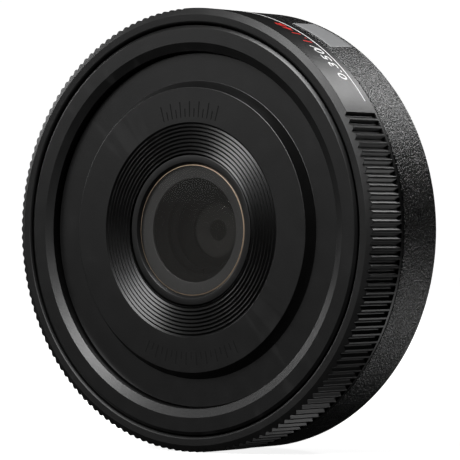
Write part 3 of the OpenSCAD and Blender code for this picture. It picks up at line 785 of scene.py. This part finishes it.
def scale_line():
    """Thin painted line round the smooth stretch of the ring."""
    half = 0.11
    section = printed(RING_R, SCALE_HEIGHT - half, SCALE_HEIGHT + half, 0.012)
    obj = mesh_object("scale_line", *sector(section, *SCALE_ANGLES, 96))
    finish_piece(obj, "focus_drive", INK_WHITE)


def figures(name, text, start, material):
    """Dial figures wrapped round the ring, read anticlockwise with their tops to the front."""
    base = SCALE_HEIGHT + 0.8
    curve = bpy.data.curves.new(name, "FONT")
    curve.body = text
    curve.size = FIGURE_HEIGHT * 1.4
    curve.shear = 0.2
    curve.space_character = 1.12
    curve.offset = 0.006
    curve.resolution_u = 4
    source = add_object(name + "_source", curve)
    graph = bpy.context.evaluated_depsgraph_get()
    flat = bpy.data.meshes.new_from_object(source.evaluated_get(graph))
    bpy.data.objects.remove(source)
    edit = bmesh.new()
    edit.from_mesh(flat)
    bmesh.ops.remove_doubles(edit, verts=edit.verts, dist=1e-5)
    bmesh.ops.dissolve_limit(edit, angle_limit=0.01, verts=edit.verts, edges=edit.edges)
    top = bmesh.ops.extrude_face_region(edit, geom=edit.faces[:])
    raised = {v for v in top["geom"] if isinstance(v, bmesh.types.BMVert)}
    for v in edit.verts:
        radius = RING_R + 0.015 if v in raised else RING_R - 0.1
        turn = math.degrees(FIGURE_STRETCH * v.co.x / RING_R)
        v.co = point(radius, start - turn, base + v.co.y)
    bmesh.ops.triangulate(edit, faces=edit.faces)
    bmesh.ops.recalc_face_normals(edit, faces=edit.faces)
    mesh = bpy.data.meshes.new(name)
    edit.to_mesh(mesh)
    edit.free()
    finish_piece(add_object(name, mesh), "focus_drive", material)


def panel_ticks(name, middle, span, inner, outer, count):
    """Row of fine engraved radial ticks on the front panel."""
    half = math.degrees(0.11 / outer)
    sunk, raised = BOSS_TOP - 0.05, BOSS_TOP + 0.004
    parts = []
    for k in range(count):
        angle = middle - span / 2 + span * k / (count - 1)
        end = inner + (outer - inner) * (0.55 if k % 2 else 1)
        section = [(inner, sunk), (end, sunk), (end, raised), (inner, raised)]
        parts.append(sector(section, angle - half, angle + half, 2))
    obj = join(name, parts)
    finish_piece(obj, "lens_body", INK_DARK)


def barrel_marks():
    """Faint row of printed alignment bars on the lower side of the rear barrel."""
    first, pitch, width, count = 130, 3.7, 0.55, 7
    parts = []
    for k in range(count):
        angle = first + pitch * k
        back, front = (3.6, 6.2) if k % 3 else (3.2, 6.6)
        parts.append(sector(printed(BARREL_R, back, front, 0.02), angle, angle + width, 3))
    finish_piece(join("barrel_marks", parts), "lens_body", INK_GREY)


def marks():
    """Distance scale on the ring, engraved ticks on the panel, bars on the barrel."""
    scale_line()
    figures("scale_figures_white", "0.350", 49.0, INK_WHITE)
    figures("scale_slash", "/", 37.2, INK_WHITE)
    figures("scale_figures_red", "1.148", 34.8, INK_RED)
    panel_ticks("panel_ticks_top", middle=0, span=33, inner=17.2, outer=19.6, count=13)
    panel_ticks("panel_ticks_bottom", middle=179, span=51, inner=18.6, outer=20.6, count=19)
    barrel_marks()


# ---- Optical cell ----


def arc(curve, rim_r, rim_h):
    """Lens surface from the axis to its rim; its middle is forward where curve is above zero."""
    forward = math.copysign(1, curve)
    rim_drop = math.sqrt(curve**2 - rim_r**2)
    out = []
    for k in range(ARC_STEPS + 1):
        r = rim_r * k / ARC_STEPS
        out.append((r, rim_h + forward * (math.sqrt(curve**2 - r**2) - rim_drop)))
    return out


def bezel():
    """Bezel round the first glass, with a fine chamfer towards the opening."""
    bore, glass_seat_r = 10.95, GLASS_R + 0.05
    lip = GLASS_RIM - 0.03
    section = [
        (bore, BEZEL_BACK), (BEZEL_R, BEZEL_BACK), (BEZEL_R, BEZEL_FRONT, 0.12),
        (OPENING_R + 0.4, BEZEL_FRONT, 0.05), (OPENING_R, lip, 0.03), (OPENING_R, lip - 0.06),
        (glass_seat_r, GLASS_BACK + 0.4), (glass_seat_r, MASK_BACK), (bore, MASK_BACK),
    ]
    obj = mesh_object("glass_bezel", *turned(section))
    finish_piece(obj, "focus_cell", ANODISED, ["front_bezel"])


def first_glass():
    """First glass and its ground bevel, which shows as a thin warm line."""
    front_curve, back_curve = 140, 90
    front = arc(front_curve, GLASS_RIM_R, GLASS_RIM)
    back = arc(back_curve, MASK_R, GLASS_BACK)
    section = back + [(GLASS_R, GLASS_BACK), (GLASS_R, GLASS_BACK + 0.32)] + front[::-1]
    obj = mesh_object("first_glass", *turned(section, 256))
    finish_piece(obj, "focus_cell", FRONT_GLASS, ["front_element"])
    obj.data.materials.append(GLASS_EDGE)
    obj.visible_shadow = False
    bevel_low, bevel_high = GLASS_RIM_R + 0.02, GLASS_R - 0.02
    for face in obj.data.polygons:
        radius = math.hypot(face.center.x, face.center.z) / MM
        if bevel_low < radius < bevel_high and face.normal.y < -0.1:
            face.material_index = 1


def element(node, back_curve, front_curve, material, back_rim=None, front_rim=None):
    """Inner element with spherical faces, whose rims lie at the CAD piece's ends if not given."""
    rim_r = reach(node)
    low, high = heights(node)
    behind = arc(back_curve, rim_r, low if back_rim is None else back_rim)
    ahead = arc(front_curve, rim_r, high if front_rim is None else front_rim)
    obj = mesh_object(node + "_glass", *turned(behind + ahead[::-1], 160))
    finish_piece(obj, "focus_cell", material, [node])
    obj.visible_shadow = False


def inner_elements():
    """The four elements behind the first glass; a curve of 4000 is all but flat."""
    element("second_element", 30, 16, INNER_GLASS, front_rim=12.6)
    element("third_element", 20, -4000, INNER_GLASS)
    element("fourth_element", -26, -4000, INNER_GLASS, back_rim=7.3)
    element("rear_element", -18, -26, REAR_GLASS, back_rim=4.0)


def mask():
    """Grey foil mask seen through the first glass."""
    section = [(MASK_R, MASK_BACK), (GLASS_R, MASK_BACK), (GLASS_R, MASK_FRONT),
               (MASK_R, MASK_FRONT, 0.05)]
    obj = mesh_object("glass_mask", *turned(section))
    finish_piece(obj, "focus_cell", MASK_GREY, ["front_mask"])


def cell():
    """Optical cell's barrel, with fine light-trap ridges behind the mask."""
    rear_bore, sleeve_r, nose_r, mouth_r = 8.3, 11.5, 10.9, 8.6
    shoulder, top = 9.5, 10.3
    front_bore, front_top, front_seat = 6.75, 14.6, 11.2
    stop_bore, stop_back, middle_bore, rear_seat = 4.2, 10.5, 5.25, 8.3
    section = [
        (rear_bore, CELL_BACK), (sleeve_r, CELL_BACK, 0.1), (sleeve_r, shoulder),
        (CELL_R, shoulder), (CELL_R, top, 0.1), (BEZEL_R, top), (BEZEL_R, BEZEL_BACK),
        (nose_r, BEZEL_BACK), (nose_r, CELL_FRONT), (mouth_r, CELL_FRONT),
    ]
    ridges, ridges_back = 5, 14.75
    ridge_r, taper, ridge_depth, ridge_drop = 8.5, 1.3, 0.35, 0.2
    for k in range(ridges):
        h = CELL_FRONT - 0.15 - k * (CELL_FRONT - ridges_back) / ridges
        r = ridge_r - taper * k / ridges
        section += [(r, h), (r - ridge_depth, h - ridge_drop)]
    section += [
        (front_bore, front_top), (front_bore, front_seat), (stop_bore, front_seat),
        (stop_bore, stop_back), (middle_bore, stop_back), (middle_bore, rear_seat),
        (rear_bore, rear_seat),
    ]
    obj = mesh_object("cell_tube", *turned(section, 256))
    finish_piece(obj, "focus_cell", CELL_BLACK, ["cell_barrel"])


# ---- Rear ----


def bayonet():
    """Bayonet: flange, spigot, tube, four lugs, countersunk holes and the locking hole."""
    tube_r, throat_r, lug_r = 24.0, 22.8, 25.6
    bore, lip_r, lip_front, lip_back = 23.4, 20.9, -1.0, -2.2
    section = [
        (throat_r, MOUNT_BACK), (tube_r, MOUNT_BACK), (tube_r, -SPIGOT_LENGTH),
        (SPIGOT_R, -SPIGOT_LENGTH), (SPIGOT_R, 0), (FLANGE_R, 0), (FLANGE_R, FLANGE_T),
        (bore, FLANGE_T), (bore, lip_front), (lip_r, lip_front), (lip_r, lip_back),
        (throat_r, lip_back),
    ]
    obj = mesh_object("bayonet", *turned(section, 240))
    lug_root, lug_back, lug_front = tube_r - 0.3, MOUNT_BACK + 0.001, MOUNT_BACK + 1.6
    lug = [(lug_root, lug_back), (lug_r, lug_back), (lug_r, lug_front), (lug_root, lug_front)]
    lugs = [sector(lug, angle, angle + LUG_SPAN, 30) for angle in LUG_ANGLES]
    cut(obj, join("lugs", lugs), "UNION")
    head_r, shank_r, outside = 1.56, 0.92, -0.5
    radii = (0, head_r, head_r, shank_r, shank_r, 0)
    levels = (outside, outside, 0.05, 0.7, 2.5, 2.5)
    holes = [rod(angle, SCREW_CIRCLE_R, radii, levels) for angle in SCREW_ANGLES]
    lock = MOUNTS["lock_pin_hole"]
    lock_angle = math.degrees(math.atan2(lock["pos_m"][0], lock["pos_m"][2]))
    holes.append(pin(lock_angle, SCREW_CIRCLE_R, lock["dims"]["r_mm"], outside, 1.3))
    holes.append(pin(0, INDEX_DOT_CIRCLE_R, 0.75, outside, 0.6))
    cut(obj, join("holes", holes))
    bevel(obj, 0.07, 2)
    finish_piece(obj, "lens_body", MOUNT_METAL, ["bayonet_mount"])


def screws(name, node, material, circle_r, angles, head_r, seat, depth):
    """Countersunk screws, heads to the rear, with cross recesses and softened rims."""
    heads = join(name, [
        rod(a, circle_r, (0, head_r * 0.88, head_r, head_r, head_r * 0.55, head_r * 0.55, 0),
            (seat, seat, seat + 0.05, seat + 0.12, seat + 0.75, seat + depth, seat + depth))
        for a in angles])
    slot_size = (head_r * 1.15, 0.7, head_r * 0.26)
    for k, a in enumerate(angles):
        first_turn = 20 + 17 * k
        for turn in (first_turn, first_turn + 90):
            cut(heads, join("cross", [slab(slot_size, point(circle_r, a, seat), turn)]))
    bevel(heads, 0.025, 1)
    finish_piece(heads, "lens_body", material, [node])


def index_mark():
    """Domed red alignment dot on the flange."""
    dot_r, dome, edge, foot = 0.7, 0.28, 0.3, 0.6
    turns = [math.radians(a) for a in range(15, 91, 15)]
    radii = [0.0] + [dot_r * math.sin(t) for t in turns] + [dot_r, 0.0]
    levels = [edge - dome] + [edge - dome * math.cos(t) for t in turns] + [foot, foot]
    obj = mesh_object("red_index_dot", *rod(0, INDEX_DOT_CIRCLE_R, radii, levels))
    finish_piece(obj, "lens_body", RED_DOT, ["index_dot"])


def baffle():
    """Rear baffle with a chamfered rectangular light window."""
    section = [(0, BAFFLE_BACK), (BAFFLE_R, BAFFLE_BACK, 0.1), (BAFFLE_R, BAFFLE_FRONT),
               (0, BAFFLE_FRONT)]
    obj = mesh_object("window_baffle", *turned(section, 180))
    cutter_depth, cutter_middle = 4, -2.6
    cutter = slab((WINDOW[0], cutter_depth, WINDOW[1]), point(0, 0, cutter_middle))
    cut(obj, join("window", [cutter]))
    holes = [pin(a, BAFFLE_SCREW_CIRCLE_R, 0.95, -4, -1) for a in BAFFLE_SCREW_ANGLES]
    cut(obj, join("baffle_holes", holes))
    bevel(obj, 0.12, 2)
    finish_piece(obj, "lens_body", TRAP_BLACK, ["light_baffle"])


# ---- Finishes of the CAD pieces that stay ----

CAD_FINISHES = {
    "guide_plate": ANODISED, "guide_plate_screws": MOUNT_SCREW, "guide_keys": BRASS,
    "guide_key_screws": MOUNT_SCREW, "fixed_barrel": ANODISED, "barrel_screws": MOUNT_SCREW,
    "slide_washer_front": FILM, "slide_washer_rear": FILM, "wave_washer": BRIGHT_STEEL,
    "helicoid_retaining_ring": ANODISED, "front_rim_screws": MOUNT_SCREW,
    "panel_adhesive_ring": TAPE, "helicoid_nut": ALLOY, "drive_keys": BRIGHT_STEEL,
    "drive_key_screws": MOUNT_SCREW, "inner_helicoid": ALLOY, "cell_shim": BRASS,
    "front_group_ring": CELL_BLACK, "aperture_stop": STOP_BLACK, "aperture_spacer": CELL_BLACK,
    "middle_spacer": TRAP_BLACK, "rear_spacer": TRAP_BLACK, "rear_retaining_ring": ANODISED,
}


def finish_cad():
    """Gives every CAD piece that stays its procedural finish."""
    for name, material in CAD_FINISHES.items():
        data = frame["nodes"][name].data
        data.materials.clear()
        data.materials.append(material)


# ---- Stage, light and camera ----

# Distances are in metres here
VIEW_AZIMUTH = math.radians(37.11)
VIEW_DISTANCE = 0.511
VIEW_OFFSET = 0.0063
FOCAL_MM = 263.1
SENSOR_MM = 36.0
STAGE_R = 2.0


def white_surface(name, near, far, spread):
    """Pale stage surface whose glow rises from one level to another with distance in metres."""
    s = Shader(name, Roughness=0.9)
    s.colour(s.ramp(s.noise(0.01, 2.0), [(0.3, grey(0.55)), (0.7, grey(0.6))]))
    s.glow((1, 1, 1), s.span(s.distance(), 0.0, spread / MM, near, far))
    return s.material


def unseen_by_the_lens(obj):
    """Keeps a stage surface out of reflections, so black finishes stay black."""
    for ray in ("diffuse", "glossy", "transmission", "volume_scatter", "shadow"):
        setattr(obj, "visible_" + ray, False)


def studio():
    """Pale light-table floor and a white surround, which only the camera sees."""
    floor_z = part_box("focus_ring")[0].z - 0.00005
    verts = [Vector((STAGE_R * x, STAGE_R * y, floor_z)) for x, y in
             ((-1, -1), (1, -1), (1, 1), (-1, 1))]
    floor = mesh_object("floor", verts, [(0, 1, 2, 3)])
    floor.data.materials.append(white_surface("floor_white", 0.86, 1.0, 0.25))
    dome = bpy.data.meshes.new("surround")
    edit = bmesh.new()
    bmesh.ops.create_icosphere(edit, subdivisions=4, radius=STAGE_R)
    edit.to_mesh(dome)
    edit.free()
    surround = add_object("surround", dome)
    dome.materials.append(white_surface("surround_white", 1.0, 1.0, 1.0))
    for obj in (floor, surround):
        unseen_by_the_lens(obj)


def sky():
    """Surroundings that the lens sees: dark, with a soft glow above the front left."""
    world = bpy.context.scene.world or bpy.data.worlds.new("world")
    bpy.context.scene.world = world
    world.use_nodes = True
    nodes, links = world.node_tree.nodes, world.node_tree.links
    nodes["Background"].inputs["Color"].default_value = (1, 1, 1, 1)
    coords = nodes.new("ShaderNodeTexCoord")
    toward = nodes.new("ShaderNodeVectorMath")
    toward.operation = "DOT_PRODUCT"
    toward.inputs[1].default_value = Vector((-0.5, -0.65, 0.57)).normalized()
    glow = nodes.new("ShaderNodeMapRange")
    glow.interpolation_type = "SMOOTHSTEP"
    for socket, value in (("From Min", 0.45), ("From Max", 1.0),
                          ("To Min", 0.004), ("To Max", 0.09)):
        glow.inputs[socket].default_value = value
    links.new(coords.outputs["Generated"], toward.inputs[0])
    links.new(toward.outputs["Value"], glow.inputs["Value"])
    links.new(glow.outputs["Result"], nodes["Background"].inputs["Strength"])


def softbox(name, direction, distance, size, glow):
    """Even rectangular light aimed at the lens; distance and size are in metres."""
    data = bpy.data.lights.new(name, "AREA")
    data.shape = "RECTANGLE"
    data.size, data.size_y = size
    data.energy = glow * math.pi * size[0] * size[1]
    light = add_object(name, data)
    away = Vector(direction).normalized()
    light.location = away * distance
    light.rotation_euler = away.to_track_quat("Z", "Y").to_euler()


def lights():
    """Softboxes whose reflections draw the chamfers, the grooves and the side of the barrel."""
    softbox("front_left_panel", (-0.69, -0.66, 0.3), 0.6, (0.34, 0.26), 0.9)
    softbox("front_top_box", (-0.07, -0.79, 0.59), 0.6, (0.28, 0.42), 13.5)
    softbox("left_box", (-0.95, -0.1, 0.3), 0.9, (0.26, 0.26), 7.0)
    softbox("rear_top_box", (0.13, 0.79, 0.585), 0.9, (0.25, 0.17), 15.0)
    softbox("rear_low_box", (0.42, 0.79, -0.43), 0.9, (0.22, 0.18), 5.5)


def camera():
    """Camera at the height of the optical axis, looking past the front towards the rear."""
    toward = Vector((-math.sin(VIEW_AZIMUTH), math.cos(VIEW_AZIMUTH), 0))
    right = Vector((math.cos(VIEW_AZIMUTH), math.sin(VIEW_AZIMUTH), 0))
    front_centre = Vector((0, -FRONT * MM, 0))
    data = bpy.data.cameras.new("camera")
    data.lens = FOCAL_MM
    data.sensor_width = SENSOR_MM
    data.clip_start = 0.01
    data.clip_end = 50
    obj = add_object("camera", data)
    obj.location = front_centre + right * VIEW_OFFSET - toward * VIEW_DISTANCE
    obj.rotation_euler = toward.to_track_quat("-Z", "Y").to_euler()
    bpy.context.scene.camera = obj


# ---- Build ----

camera()
studio()
sky()
lights()
bpy.context.scene.view_settings.view_transform = "Standard"
finish_cad()
focusing_ring()
rear_shell()
rim()
panel()
badge()
bezel()
first_glass()
inner_elements()
mask()
cell()
bayonet()
screws("mount_screw_heads", "mount_screws", MOUNT_SCREW,
       SCREW_CIRCLE_R, SCREW_ANGLES, head_r=1.5, seat=0.02, depth=4.0)
screws("baffle_screw_heads", "baffle_screws", BLACK_SCREW,
       BAFFLE_SCREW_CIRCLE_R, BAFFLE_SCREW_ANGLES, head_r=0.9, seat=BAFFLE_BACK + 0.02, depth=1.7)
index_mark()
baffle()
marks()
